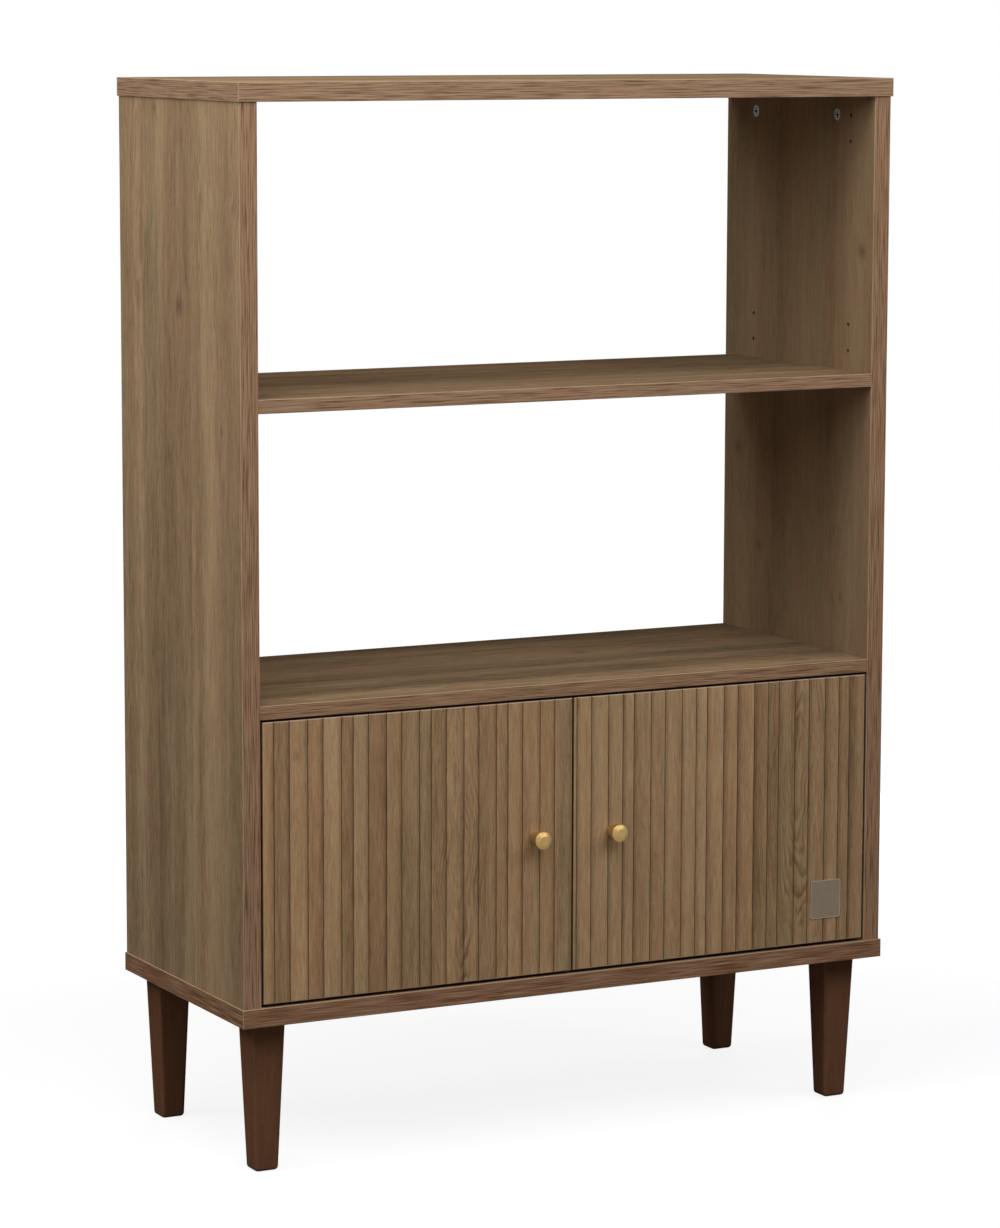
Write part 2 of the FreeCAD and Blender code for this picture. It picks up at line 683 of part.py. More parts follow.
def make_hinge_plate(z):
    """Mounting plate with a rail for the arm and two screw holes one pitch apart."""
    half_height = pitch / 2 + plate_margin
    wings = box(inner_x - plate_thickness, inner_x,
                front_column_y - plate_depth / 2, front_column_y + plate_depth / 2,
                z - half_height, z + half_height)
    rail = box(inner_x - rail_height, inner_x, rail_front_y, rail_front_y + rail_length,
               z - rail_width / 2, z + rail_width / 2)
    holes = [rod(Vec(inner_x, front_column_y, screw_z), LEFT, face_hole_radius, plate_thickness)
             for screw_z in (z - pitch / 2, z + pitch / 2)]
    holes.append(rod(Vec(inner_x - rail_height, arm_screw_y(), z), RIGHT,
                     arm_screw_radius + fit_clearance, arm_screw_length - arm_metal))
    return drilled(wings.fuse(rail), holes).removeSplitter()


def plate_screws(z):
    screws = []
    for screw_z in (z - pitch / 2, z + pitch / 2):
        seat = Vec(inner_x - plate_thickness, front_column_y, screw_z)
        shank = rod(seat, RIGHT, face_hole_radius - fit_clearance,
                    plate_screw_length + plate_thickness)
        head = rod(seat, LEFT, plate_screw_head_radius, plate_screw_head_height)
        screws.append(shank.fuse(head).removeSplitter())
    return screws


def make_arm_screw(z):
    seat = Vec(inner_x - rail_height - arm_metal, arm_screw_y(), z)
    shank = rod(seat, RIGHT, arm_screw_radius, arm_screw_length - arm_screw_end_room)
    head = rod(seat, LEFT, arm_screw_head_radius, arm_screw_head_height)
    return shank.fuse(head).removeSplitter()


def leaf_pieces(meeting_x, first_slat, next_slat):
    """A door and what is placed from its meeting edge, drawn as on the right side."""
    return {
        "door": [door_leaf(meeting_x, first_slat, next_slat)],
        "knob": [make_knob(meeting_x)],
        "knob_screw": [make_knob_screw(meeting_x)],
        "door_bumper": [make_bumper(meeting_x)],
    }


def make_doors():
    """Both doors with what rides on them, and the hinge pieces that stay on the side panels."""
    cups = [make_hinge_cup(z) for z in hinge_zs]
    pins = [make_hinge_pin(z) for z in hinge_zs]
    screws = [screw for z in hinge_zs for screw in cup_screws(z)]
    arms = [make_hinge_arm(z) for z in hinge_zs]
    plates = [make_hinge_plate(z) for z in hinge_zs]
    hinges = {
        "hinge_cups": cups,
        "hinge_pins": pins,
        "hinge_cup_screws": screws,
        "hinge_arms": arms,
        "hinge_plates": plates,
    }
    right = leaf_pieces(right_meeting_x, right_first_slat, right_next_slat) | hinges
    left = leaf_pieces(left_meeting_x, left_first_slat, left_next_slat) | hinges
    for name, shapes in right.items():
        write("right_" + name, shapes)
    for name, shapes in left.items():
        write("left_" + name, [mirrored(shape) for shape in shapes])
    write("nameplate", [make_nameplate()])
    write("hinge_plate_screws", both_sides([s for z in hinge_zs for s in plate_screws(z)]))
    write("hinge_arm_screws", both_sides([make_arm_screw(z) for z in hinge_zs]))


# ---------------------------------------------------------------- door stop

def stop_front_y():
    return door_back_y + bumper_thickness + stop_bumper_room


def stop_screw_points():
    y = stop_front_y() + stop_depth / 2
    return [Vec(x, y, cabinet_shelf_z) for x in (-stop_screw_spacing / 2, stop_screw_spacing / 2)]


def stop_screw_holes():
    radius = stop_screw_radius + fit_clearance
    return [rod(point, UP, radius, stop_screw_in_shelf + screw_end_room)
            for point in stop_screw_points()]


def make_door_stop():
    """Block under the cabinet shelf that both doors' bumpers meet, and its two screws."""
    y0 = stop_front_y()
    block = box(-stop_width / 2, stop_width / 2, y0, y0 + stop_depth,
                cabinet_shelf_z - stop_height, cabinet_shelf_z)
    lower = [edge for edge in block.Edges
             if abs(edge.CenterOfMass.z - block.BoundBox.ZMin) < 1e-6]
    block = block.makeFillet(stop_rounding, lower)
    screws = []
    holes = []
    for point in stop_screw_points():
        seat = point + DOWN * (stop_height - stop_screw_head_height)
        holes.append(rod(point, DOWN, stop_screw_radius + fit_clearance, stop_height))
        holes.append(rod(seat, DOWN, stop_screw_head_radius + fit_clearance,
                         stop_screw_head_height))
        shank_length = stop_height - stop_screw_head_height + stop_screw_in_shelf
        shank = rod(seat, UP, stop_screw_radius, shank_length)
        head = rod(seat, DOWN, stop_screw_head_radius, stop_screw_head_height)
        screws.append(shank.fuse(head).removeSplitter())
    write("door_stop", [drilled(block, holes)])
    write("door_stop_screws", screws)


# ---------------------------------------------------------------- legs

def leg_places():
    x = outer_x - leg_side_inset
    front = front_y + leg_front_inset
    back = back_y - leg_back_inset
    return [(-x, front), (x, front), (-x, back), (x, back)]


def make_leg(x, y):
    """Tapered leg with a rounded foot, a blind hole for its bolt and a seat for its glide."""
    top = rounded_rectangle(leg_top_width, leg_top_width, leg_corner_radius,
                            along_z(bottom_deck_z))
    foot = rounded_rectangle(leg_foot_width, leg_foot_width, leg_foot_corner_radius,
                             along_z(glide_proud))
    leg = Part.makeLoft([foot, top], True, True)
    foot_edges = [edge for edge in leg.Edges
                  if abs(edge.BoundBox.ZMax - glide_proud) < 1e-3]
    leg = leg.makeFillet(leg_foot_rounding, foot_edges)
    bolt_hole = rod(Vec(0, 0, bottom_deck_z), DOWN, hanger_radius + fit_clearance,
                    hanger_in_leg + screw_end_room)
    glide_seat = rod(Vec(0, 0, glide_proud), UP, glide_radius + glide_room,
                     glide_thickness - glide_proud)
    leg = drilled(leg, [bolt_hole, glide_seat])
    leg.translate(Vec(x, y, 0))
    return leg


def make_hanger_bolt(x, y):
    return rod(Vec(x, y, bottom_deck_z - hanger_in_leg), UP, hanger_radius,
               hanger_in_leg + hanger_in_deck)


def make_insert_nut(x, y):
    start = Vec(x, y, bottom_deck_z)
    body = rod(start, UP, insert_radius - fit_clearance, insert_length)
    return body.cut(rod(start, UP, hanger_radius + fit_clearance, insert_length))


def make_glide(x, y):
    disc = rod(Vec(x, y, 0), UP, glide_radius, glide_thickness)
    rim = [edge for edge in disc.Edges if abs(edge.CenterOfMass.z) < 1e-6]
    return disc.makeFillet(glide_proud / 2, rim)


def make_legs():
    names = ("front_left_leg", "front_right_leg", "back_left_leg", "back_right_leg")
    for name, (x, y) in zip(names, leg_places()):
        write(name, [make_leg(x, y)])
    write("leg_hanger_bolts", [make_hanger_bolt(x, y) for x, y in leg_places()])
    write("leg_insert_nuts", [make_insert_nut(x, y) for x, y in leg_places()])
    write("leg_glides", [make_glide(x, y) for x, y in leg_places()])


make_carcass()
make_doors()
make_door_stop()
make_legs()
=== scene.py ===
"""The looks of the bookcase: materials for every CAD node, a pale floor, soft lamps and the camera.

Metres, in the CAD frame: origin on the floor under the middle of the footprint, +Z up, -Y front.
"""

import math
from typing import NamedTuple

import bpy
from mathutils import Euler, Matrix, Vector


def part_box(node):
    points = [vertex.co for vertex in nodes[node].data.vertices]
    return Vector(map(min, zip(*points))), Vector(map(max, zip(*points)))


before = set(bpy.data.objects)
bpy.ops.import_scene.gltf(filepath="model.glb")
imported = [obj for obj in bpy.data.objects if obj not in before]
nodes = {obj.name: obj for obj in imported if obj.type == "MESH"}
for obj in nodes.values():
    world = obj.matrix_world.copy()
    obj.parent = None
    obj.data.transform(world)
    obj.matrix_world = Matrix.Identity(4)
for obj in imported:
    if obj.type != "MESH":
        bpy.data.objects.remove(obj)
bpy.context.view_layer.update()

X, Y, Z = 0, 1, 2

# ---------------------------------------------------------------- camera

CAMERA_PLACE = (-2.40225, -4.58957, 1.34139)
CAMERA_TURN = (81.985, -0.149, -27.454)     # degrees, XYZ
CAMERA_LENS = 127.07                        # mm, with the sensor height below
CAMERA_SENSOR = 36.0


def make_camera():
    data = bpy.data.cameras.new("camera")
    data.sensor_fit = "VERTICAL"
    data.sensor_height = CAMERA_SENSOR
    data.lens = CAMERA_LENS
    camera = bpy.data.objects.new("camera", data)
    camera.location = CAMERA_PLACE
    camera.rotation_euler = Euler([math.radians(angle) for angle in CAMERA_TURN], "XYZ")
    bpy.context.scene.collection.objects.link(camera)
    bpy.context.scene.camera = camera


# ---------------------------------------------------------------- node tools

class Grain(NamedTuple):
    """A feature of a wood print, read from noise that is stretched along the grain."""
    length: float               # of one blob, along the grain, in metres
    width: float                # and across it
    layer: float = 0.0          # of the noise: features on different layers differ
    detail: float = 2.0
    roughness: float = 0.5


class Field:
    """A number that differs from point to point. Arithmetic on it adds Math nodes."""

    def __init__(self, shader, socket):
        self.shader = shader
        self.socket = socket

    def math(self, operation, *others):
        return self.shader.math(operation, self, *others)

    def __add__(self, other):
        return self.math("ADD", other)

    def __sub__(self, other):
        return self.math("SUBTRACT", other)

    def __rsub__(self, other):
        return self.shader.math("SUBTRACT", other, self)

    def __mul__(self, other):
        return self.math("MULTIPLY", other)

    def __truediv__(self, other):
        return self.math("DIVIDE", other)

    def __abs__(self):
        return self.math("ABSOLUTE")

    __radd__ = __add__
    __rmul__ = __mul__

    def above(self, limit):
        """1 where the field is over the limit, else 0."""
        return self.math("GREATER_THAN", limit)

    def below(self, limit):
        return self.math("LESS_THAN", limit)

    def least(self, other):
        return self.math("MINIMUM", other)

    def most(self, other):
        return self.math("MAXIMUM", other)

    def inside(self, low, high):
        """How far the field lies in from the nearer of two limits."""
        return (self - low).least(high - self)

    def swing(self, amount):
        """Turns noise round 0.5 into a change round 0, the amount for each 1 of noise."""
        return (self - 0.5) * amount

    def bell(self):
        """1 where the field is 0, falling to nothing on both sides."""
        return (self * self * -1.0).math("EXPONENT")

    def step(self, start, end):
        """Smooth rise from 0 at start to 1 at end."""
        node = self.shader.new("ShaderNodeMapRange", interpolation_type="SMOOTHSTEP")
        self.shader.fill(node, (self, start, end, 0.0, 1.0))
        return Field(self.shader, node.outputs[0])


class Shader:
    """A node tree, with short calls for the nodes that the materials below are built from."""

    def __init__(self, tree):
        self.tree = tree
        tree.nodes.clear()

    def new(self, kind, **settings):
        node = self.tree.nodes.new(kind)
        for name, value in settings.items():
            setattr(node, name, value)
        return node

    def feed(self, socket, value):
        if isinstance(value, Field):
            value = value.socket
        if isinstance(value, bpy.types.NodeSocket):
            self.tree.links.new(value, socket)
        elif isinstance(value, tuple) and len(value) == 3 and socket.type == "RGBA":
            socket.default_value = (*value, 1.0)
        else:
            socket.default_value = value

    def fill(self, node, values):
        for socket, value in zip(node.inputs, values):
            self.feed(socket, value)

    def coat(self, surface, colour, roughness, normal):
        self.feed(surface.inputs["Base Color"], colour)
        self.feed(surface.inputs["Roughness"], roughness)
        self.feed(surface.inputs["Normal"], normal)

    def math(self, operation, *values):
        node = self.new("ShaderNodeMath", operation=operation)
        self.fill(node, values)
        return Field(self, node.outputs[0])

    def split(self, vector):
        node = self.new("ShaderNodeSeparateXYZ")
        self.feed(node.inputs[0], vector)
        return [Field(self, socket) for socket in node.outputs]

    def join(self, values):
        node = self.new("ShaderNodeCombineXYZ")
        self.fill(node, values)
        return node.outputs[0]

    def place(self):
        """The point's place in the CAD frame, in metres, as three fields."""
        return self.split(self.new("ShaderNodeTexCoord").outputs["Object"])

    def facing(self):
        """The surface's direction in the piece's own frame, as three fields."""
        return self.split(self.new("ShaderNodeTexCoord").outputs["Normal"])

    def noise(self, values, detail=2.0, roughness=0.5):
        """Smooth noise from about 0.2 to 0.8; one unit of each value is one blob."""
        node = self.new("ShaderNodeTexNoise", noise_dimensions="3D")
        self.feed(node.inputs["Vector"], self.join(values))
        self.feed(node.inputs["Scale"], 1.0)
        self.feed(node.inputs["Detail"], detail)
        self.feed(node.inputs["Roughness"], roughness)
        return Field(self, node.outputs["Fac"])

    def grain(self, u, v, seed, feature):
        """The noise of a feature of a wood print. u runs along the grain and v across it."""
        values = (u / feature.length, v / feature.width, seed + feature.layer)
        return self.noise(values, feature.detail, feature.roughness)

    def specks(self, place, counts):
        """Noise with so many blobs to a metre along x, y and z."""
        return self.noise([part * count for part, count in zip(place, counts)])

    def random(self, value):
        """A number from 0 to 1, another one for each value."""
        node = self.new("ShaderNodeTexWhiteNoise", noise_dimensions="1D")
        self.feed(node.inputs["W"], value)
        return Field(self, node.outputs["Value"])

    def mix(self, factor, a, b):
        node = self.new("ShaderNodeMix", data_type="RGBA")
        self.feed(node.inputs[0], factor)
        self.feed(node.inputs[6], a)
        self.feed(node.inputs[7], b)
        return node.outputs[2]

    def shade(self, colour, amount):
        """The colour times a field."""
        node = self.new("ShaderNodeVectorMath", operation="SCALE")
        self.feed(node.inputs[0], colour)
        self.feed(node.inputs["Scale"], amount)
        return node.outputs[0]

    def bump(self, height, distance):
        """A normal from a height field; distance is the depth in metres of a height of 1."""
        node = self.new("ShaderNodeBump")
        self.feed(node.inputs["Height"], height)
        self.feed(node.inputs["Distance"], distance)
        return node.outputs["Normal"]


def new_material(name, metallic=0.0, specular=0.5):
    """A material with one Principled shader. Returns it, its Shader tools and that shader."""
    material = bpy.data.materials.new(name)
    material.use_nodes = True
    shader = Shader(material.node_tree)
    surface = shader.new("ShaderNodeBsdfPrincipled")
    surface.inputs["Metallic"].default_value = metallic
    surface.inputs["Specular IOR Level"].default_value = specular
    output = shader.new("ShaderNodeOutputMaterial")
    shader.tree.links.new(surface.outputs[0], output.inputs["Surface"])
    return material, shader, surface


def dress(name, material):
    for slot in nodes[name].material_slots:
        slot.material = material


# ---------------------------------------------------------------- wood print

ZONE = Grain(1.20, 0.044, 0.0, 3.0)             # wide bands of one hue
BROAD = Grain(1.30, 0.055, 2.0, 3.0)            # wide light and dark bands
STREAK = Grain(0.095, 0.0100, 4.0, 4.0, 0.65)
FIBRE = Grain(0.030, 0.0021, 6.0, 3.0, 0.80)
CLUSTER = Grain(0.12, 0.022, 8.0)               # where pores lie close together
PORE = Grain(0.011, 0.0010, 10.0, 1.0)
SWAY = Grain(0.50, 0.140, 13.0)                 # the grain wanders sideways
RIPPLE = Grain(0.085, 0.034, 15.0, 3.0, 0.6)    # the same on a smaller scale
TINT = Grain(0.036, 0.0052, 17.0, 3.0, 0.65)    # small changes of hue
FLECK = Grain(0.014, 0.0018, 19.0, 1.0)         # short light dashes

SWAY_WIDTH = 0.016
RIPPLE_WIDTH = 0.0046

# Values of the noise between which a feature comes up from nothing to full.
CLUSTER_EDGE = (0.34, 0.66)
PORE_EDGE = (0.56, 0.70)
FLECK_EDGE = (0.62, 0.74)
SMUDGE_EDGE = (0.86, 0.64)                      # of the sum of two noises, towards its dark end

# How much each feature changes the hue, the lightness and the share of the dark tone.
HUE_BY_ZONE = 1.5
HUE_BY_TINT = 1.6
LIGHT_BY_BROAD = 1.40
LIGHT_BY_STREAK = 0.78
LIGHT_BY_FIBRE = 1.35
LIGHT_BY_FLECK = 0.14
DARK_BY_RING = 0.36
DARK_BY_PORE = 0.34
DARK_BY_SMUDGE = 0.18

# Tones of a print: light, rosy and dark.
BOARD_TONES = ((0.308, 0.226, 0.127), (0.304, 0.186, 0.110), (0.110, 0.063, 0.031))
DOOR_TONES = ((0.378, 0.262, 0.146), (0.374, 0.213, 0.110), (0.140, 0.077, 0.035))

LAMINATE_ROUGHNESS = 0.50
ROUGH_BY_FIBRE = 0.16
ROUGH_BY_PORE = 0.1
LAMINATE_SPECULAR = 0.0         # dead matt: no sheen even where it is seen at a shallow angle
PRINT_DEPTH = 0.00004           # of the pores pressed in the surface
RING_DEPTH = 0.3                # of the rings, as a share of that


def wander(shader, u, v, seed):
    """Moves v so that the grain doesn't run quite straight."""
    v = v + shader.grain(u, v, seed, SWAY).swing(SWAY_WIDTH)
    return v + shader.grain(u, v, seed, RIPPLE).swing(RIPPLE_WIDTH)


def wood(shader, u, v, seed, rings, tone, tones, contrast):
    """A wood print's colour, roughness and normal.

    u runs along the grain and v across it. rings are the dark lines of its growth rings, and
    tone makes a plank or slat a little lighter or darker than its neighbours.
    """
    light_tone, rosy_tone, dark_tone = tones
    v = wander(shader, u, v, seed)
    broad = shader.grain(u, v, seed, BROAD)
    streak = shader.grain(u, v, seed, STREAK)
    fibre = shader.grain(u, v, seed, FIBRE)
    cluster = shader.grain(u, v, seed, CLUSTER).step(*CLUSTER_EDGE)
    pores = shader.grain(u, v, seed, PORE).step(*PORE_EDGE) * cluster
    flecks = shader.grain(u, v, seed, FLECK).step(*FLECK_EDGE) * (1.0 - cluster)
    smudge = (streak + broad).step(*SMUDGE_EDGE)

    hue = shader.grain(u, v, seed, ZONE).swing(HUE_BY_ZONE)
    hue = hue + shader.grain(u, v, seed, TINT).swing(HUE_BY_TINT) + 0.5
    light = broad.swing(LIGHT_BY_BROAD) + streak.swing(LIGHT_BY_STREAK)
    light = light + fibre.swing(LIGHT_BY_FIBRE) + flecks * LIGHT_BY_FLECK + tone
    dark = rings * DARK_BY_RING + pores * DARK_BY_PORE + smudge * DARK_BY_SMUDGE
    colour = shader.mix(hue.step(0.0, 1.0), light_tone, rosy_tone)
    colour = shader.shade(colour, 1.0 + light * contrast)
    colour = shader.mix(dark * contrast, colour, dark_tone)

    roughness = LAMINATE_ROUGHNESS + fibre.swing(ROUGH_BY_FIBRE) + pores * ROUGH_BY_PORE
    normal = shader.bump(1.0 - pores - rings * RING_DEPTH, PRINT_DEPTH)
    return colour, roughness, normal


RING_WIDTH = 0.0042
RING_RISE = (0.20, 0.85)        # shares of that width over which a ring's line darkens
RING_FALL = (1.0, 0.85)         # and clears again
RING_RIPPLE = Grain(0.070, 0.016, 0.0, 3.0)
RING_UNEVEN = 3.2               # ring widths by which that ripple moves them
RING_PATCH = Grain(0.12, 0.022, 5.0)
RING_PATCH_EDGE = (0.36, 0.66)
HEART_REACH = 0.045             # rings show this far from a trunk's heart, and fade beyond


def growth_rings(shader, u, from_heart, depth, seed):
    """Dark lines of growth rings, 0 to 1, on a plank cut lengthwise through a trunk.

    They close into arches where the depth from the cut to the trunk's heart changes along u.
    """
    radius = (from_heart * from_heart + depth * depth).math("SQRT")
    ripple = shader.grain(u, from_heart, seed, RING_RIPPLE)
    phase = (radius / RING_WIDTH + ripple * RING_UNEVEN).math("FRACT")
    line = phase.step(*RING_RISE) * phase.step(*RING_FALL)
    shown = shader.grain(u, from_heart, seed, RING_PATCH).step(*RING_PATCH_EDGE)
    return line * shown * (from_heart / HEART_REACH).bell()


# ---------------------------------------------------------------- knots

class Knot(NamedTuple):
    """A knot in a print, in metres in the CAD frame."""
    along: float                # its place along the grain
    across: float               # and across it
    radius: float
    on_other_face: bool = False


KNOT_DARK = (0.085, 0.050, 0.043)
KNOT_STRETCH = 1.2              # a knot's length over its width
KNOT_FULL = 0.0125              # radius of the darkest knots; smaller ones are fainter
KNOT_BEND = 0.7                 # how far the grain flows round a knot, in its radii
KNOT_REACH = 3.0                # how far off it does so, in its radii
BOARD_KNOT_SHARE = 0.85         # of the dark colour in the darkest knots
DOOR_KNOT_SHARE = 0.80


def bend_round_knots(u, v, other_face, knots):
    """Moves v so that the grain flows round each knot. Returns it and how deep in a knot we are."""
    bent = v
    eyes = v * 0.0
    for knot in knots:
        du = (u - knot.along) / (KNOT_STRETCH * knot.radius)
        dv = (v - knot.across) / knot.radius
        here = other_face if knot.on_other_face else 1.0 - other_face
        pull = (du / KNOT_REACH).bell() * (dv / KNOT_REACH).bell() * here
        bent = bent - dv * pull * (KNOT_BEND * knot.radius)
        eyes = eyes.most(du.bell() * dv.bell() * here * (knot.radius / KNOT_FULL))
    return bent, eyes


# ---------------------------------------------------------------- boards

FACE_SHIFT = 3.7                # moves the print of a board's second face, so that the two differ
FACE_SHIFT_ACROSS = 0.31        # the same across the grain, as a share of that

PLANK_WIDTH = 0.082             # of the planks that the print shows side by side
PLANK_WANDER = 0.14             # size of the changes in that width
PLANK_UNEVEN = 1.6              # plank widths that they move a plank by, for each 1 of noise
PLANK_TONE = 0.16               # range of the planks' lightness
PLANK_TONE_DRAW = 0.37          # keeps the draw of a plank's tone apart from that of its heart
PLANK_DEPTH_STEP = 5.3          # in the noise, from one plank to the next
PLANK_RING_STEP = 3.1
HEART_SHIFT = 0.060             # a plank's heart lies up to this far from its middle
HEART_RUN = 0.9                 # length over which the heart's depth changes
HEART_DEPTH = 0.1125            # that depth, for each 1 of noise
HEART_CUT = 0.35                # noise at which the cut goes through the heart

CORE_WITH_PAINTED_SHADE = (0.160, 0.112, 0.070)    # particle board, where a board is cut or drilled, darkened with painted shade for the holes
CORE_DARKEST = 0.55
CHIP_LIGHT = 0.9                # how much lighter than that a chip gets
CHIPS = (700.0, 700.0, 700.0)   # to a metre
CUT_TURN = 0.7                  # cosine to the board's face, below which a surface is a cut


def planks(shader, u, v, seed):
    """The growth rings and the tone of the planks that a board's print shows side by side."""
    uneven = shader.noise((v / PLANK_WANDER, seed, 0.0)) * PLANK_UNEVEN
    plank = v / PLANK_WIDTH + uneven
    cell = plank.math("FLOOR")
    middle = plank.math("FRACT").swing(PLANK_WIDTH)
    heart = middle + shader.random(cell + seed).swing(2 * HEART_SHIFT)
    run = shader.noise((u / HEART_RUN, cell * PLANK_DEPTH_STEP, seed))
    depth = (run - HEART_CUT) * HEART_DEPTH
    rings = growth_rings(shader, u, heart, depth, cell * PLANK_RING_STEP + seed)
    tone = shader.random(cell + seed + PLANK_TONE_DRAW).swing(PLANK_TONE)
    return rings, tone


def laminate(node, name, along, across, seed, knots=(), contrast=1.0, tone=0.0):
    """A board's print on both faces, as planks side by side, and its core where it is cut, darkened
    with painted shade.

    along and across are the axes of its grain. tone makes the whole board lighter or darker.
    """
    material, shader, surface = new_material(name, specular=LAMINATE_SPECULAR)
    through = X + Y + Z - along - across
    low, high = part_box(node)
    place = shader.place()
    other_face = place[through].above((low[through] + high[through]) / 2)
    v, eyes = bend_round_knots(place[along], place[across], other_face, knots)
    shift = other_face * FACE_SHIFT + seed
    u = place[along] + shift
    v = v + shift * FACE_SHIFT_ACROSS
    rings, plank_tone = planks(shader, u, v, seed)
    colour, roughness, normal = wood(shader, u, v, seed, rings, plank_tone + tone, BOARD_TONES,
                                     contrast)
    colour = shader.mix(eyes * BOARD_KNOT_SHARE, colour, KNOT_DARK)
    # painted shade: the core is darker than raw particle board, standing in for the shade inside
    # drilled holes
    core = shader.shade(CORE_WITH_PAINTED_SHADE, CORE_DARKEST + shader.specks(place, CHIPS) * CHIP_LIGHT)
    cut = abs(shader.facing()[through]).below(CUT_TURN)
    shader.coat(surface, shader.mix(cut, colour, core), roughness, normal)
    return material


# ---------------------------------------------------------------- edge bands

BAND_LINE = Grain(0.130, 0.0020, 0.0, 2.0, 0.6)
BAND_BROAD = Grain(0.16, 0.0075, 2.0)
BAND_HAIR = Grain(0.060, 0.0010, 4.0, 2.0, 0.6)     # the finest lines
BAND_SWAY = Grain(0.20, 0.050, 8.0)
BAND_SWAY_WIDTH = 0.003
HAIR_SHARE = 0.82               # the rest of the drawing is the wider lines

BAND_MAIN = (0.292, 0.178, 0.108)
BAND_ROSE = (0.300, 0.168, 0.103)
BAND_DARK = (0.105, 0.053, 0.026)
BAND_CORE = (0.420, 0.300, 0.200)
ROSE_EDGE = (0.3, 0.7)
DARK_EDGE = (0.49, 0.61)        # values of the drawing between which its dark lines come up
DARK_SHARE = 0.78
PALE_EDGE = (0.48, 0.37)        # and its pale ones
PALE_SHARE = 0.64
BAND_LIGHT = 0.15
END_STRIP = 0.85                # a deck's end strips are darker than its front one

BAND_FLAT = (0.96, 0.90)        # cosines between which the printed face turns into bare arris
BAND_CORNER = 0.0008            # width of the bare line where a deck's front and end strips meet
BAND_WEAR_BLOBS = 60.0          # to a metre
BAND_WEAR_LAYER = 6.0
BARE_LEAST = 0.6                # share of the core's colour where the strip is bare
BARE_BY_WEAR = 0.5              # and what is added to it, for each 1 of noise
BAND_ROUGHNESS = 0.48
BAND_ROUGH_BY_BROAD = 0.15


def band_print(shader, u, v, seed, tint_and_shade, light):
    """An edge band's colour, roughness and normal.

    tint multiplies its two main colours and also carries painted light and shade, and light makes
    both of them lighter or darker.
    """
    main, rose = [tuple(a * b for a, b in zip(tone, tint_and_shade)) for tone in (BAND_MAIN, BAND_ROSE)]
    lines = shader.grain(u, v, seed, BAND_LINE)
    hairs = shader.grain(u, v, seed, BAND_HAIR)
    broad = shader.grain(u, v, seed, BAND_BROAD)
    drawn = lines * (1.0 - HAIR_SHARE) + hairs * HAIR_SHARE
    dark = drawn.step(*DARK_EDGE) * DARK_SHARE
    pale = drawn.step(*PALE_EDGE) * PALE_SHARE
    colour = shader.mix(broad.step(*ROSE_EDGE), main, rose)
    colour = shader.shade(colour, (1.0 + broad.swing(BAND_LIGHT)) * light)
    colour = shader.mix(pale, colour, BAND_CORE)
    colour = shader.mix(dark, colour, BAND_DARK)
    roughness = BAND_ROUGHNESS + broad.swing(BAND_ROUGH_BY_BROAD)
    return colour, roughness, shader.bump(1.0 - dark, PRINT_DEPTH)


def edge_band(name, seed, tint_and_shade):
    """A board's printed strips, whose grain runs along them; a milled arris shows the core.

    A side panel's strips are upright. A deck, the top or bottom panel, has strips at its ends
    too, which run along Y and face along X.
    """
    node = name + "_edge_bands"
    upright = name.endswith("side")
    deck = name.endswith("panel")
    material, shader, surface = new_material("band_" + name, specular=LAMINATE_SPECULAR)
    x, y, z = shader.place()
    facing = shader.facing()
    nx = abs(facing[X])
    ny = abs(facing[Y])
    at_end = nx.above(ny) * (1.0 if deck else 0.0)
    u = (z if upright else x + (y - x) * at_end) + seed
    v = x if upright else z
    v = v + shader.grain(u, v, seed, BAND_SWAY).swing(BAND_SWAY_WIDTH)
    light = 1.0 - at_end * (1.0 - END_STRIP)
    colour, roughness, normal = band_print(shader, u, v, seed, tint_and_shade, light)

    flat = ny if upright else nx.most(ny)
    bare = flat.step(*BAND_FLAT)
    if deck:
        low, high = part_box(node)
        from_corner = x.inside(low[X], high[X]).most(y.inside(low[Y], high[Y]))
        bare = bare.most(from_corner.below(BAND_CORNER))
    wear_and_highlight = shader.noise((u * BAND_WEAR_BLOBS, v * BAND_WEAR_BLOBS, seed + BAND_WEAR_LAYER))
    wear_and_highlight = wear_and_highlight * BARE_BY_WEAR + BARE_LEAST
    shader.coat(surface, shader.mix(bare * wear_and_highlight, colour, BAND_CORE), roughness, normal)
    return material


# ---------------------------------------------------------------- doors

SLAT_REPEAT = 0.1002
SLAT_ENDS = (0.0151, 0.0346, 0.0577, 0.0771)    # within the repeat
SLATS_IN_REPEAT = 5
SLAT_TONE = 0.12                # range of the slats' lightness
SLAT_STEP = 0.03                # across the grain in the print, from one slat to the next
SLAT_SHADE = 0.30               # printed shade on a slat's side away from the hinges
SLAT_SHADE_REACH = 0.0068

FLUTE_DEPTHS = (0.0002, 0.0013)                 # between which the painted shade in a flute comes up
FLUTE_PAINTED_SHADE = (0.100, 0.056, 0.027)
FLUTE_SHADE_SHARE = 0.70

DOOR_CONTRAST = 0.92
DOOR_RINGS = 2.0                # how many times as dark as a board's
DOOR_HEART_SLOPE = 0.16         # how fast the trunk's heart sinks below the door's face
DOOR_HEART_RUNS = 7.0           # changes in the heart's place to a metre
DOOR_HEART_WANDER = 0.05        # and how far they move it, for each 1 of noise

DOOR_ARRIS = 0.0010             # width of the painted highlight line round a door's face
DOOR_ARRIS_HIGHLIGHT = (0.520, 0.410, 0.310)
SIDE_HIGHLIGHT = 0.30
END_HIGHLIGHT = 0.65
DOOR_HIGHLIGHT_BLOBS = 90.0          # to a metre
DOOR_HIGHLIGHT_LAYER = 1.0
DOOR_HIGHLIGHT_LEAST = 0.5


